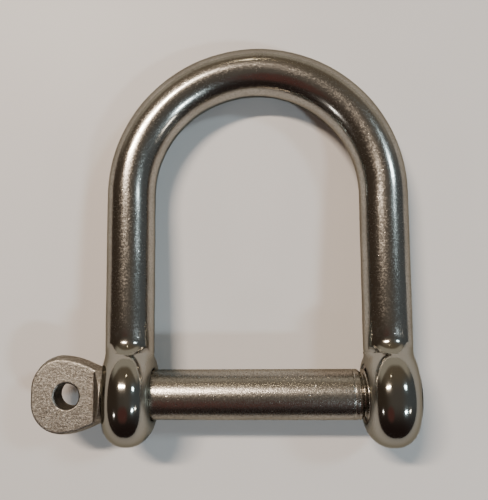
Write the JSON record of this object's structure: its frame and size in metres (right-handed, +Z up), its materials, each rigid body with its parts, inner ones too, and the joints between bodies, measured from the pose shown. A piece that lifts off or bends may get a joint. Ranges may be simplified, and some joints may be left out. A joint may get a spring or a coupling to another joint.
{
  "type": "dee shackle",
  "caption": "Wide screw-pin dee shackle: a round-bar bow with a forged eye at each end, and a threaded pin with a flat drilled tab head.",
  "frame": {"origin": "on the pin's axis, midway between the two eyes", "axes": "+X along the pin towards the threaded eye, +Y from the pin towards the crown, +Z up out of the surface that the shackle lies on"},
  "size_m": [0.0939, 0.0988, 0.0248],
  "materials": {
    "bow_steel": "polished",
    "pin_steel": "satin"
  },
  "bodies": {
    "bow": {"bow": "bow_steel"},
    "pin": {"pin": "pin_steel"}
  },
  "joints": [
    {"name": "pin_withdraw", "type": "slide", "parent": "bow", "child": "pin", "axis": [-1, 0, 0], "range_m": [0, 0.075]}
  ]
}
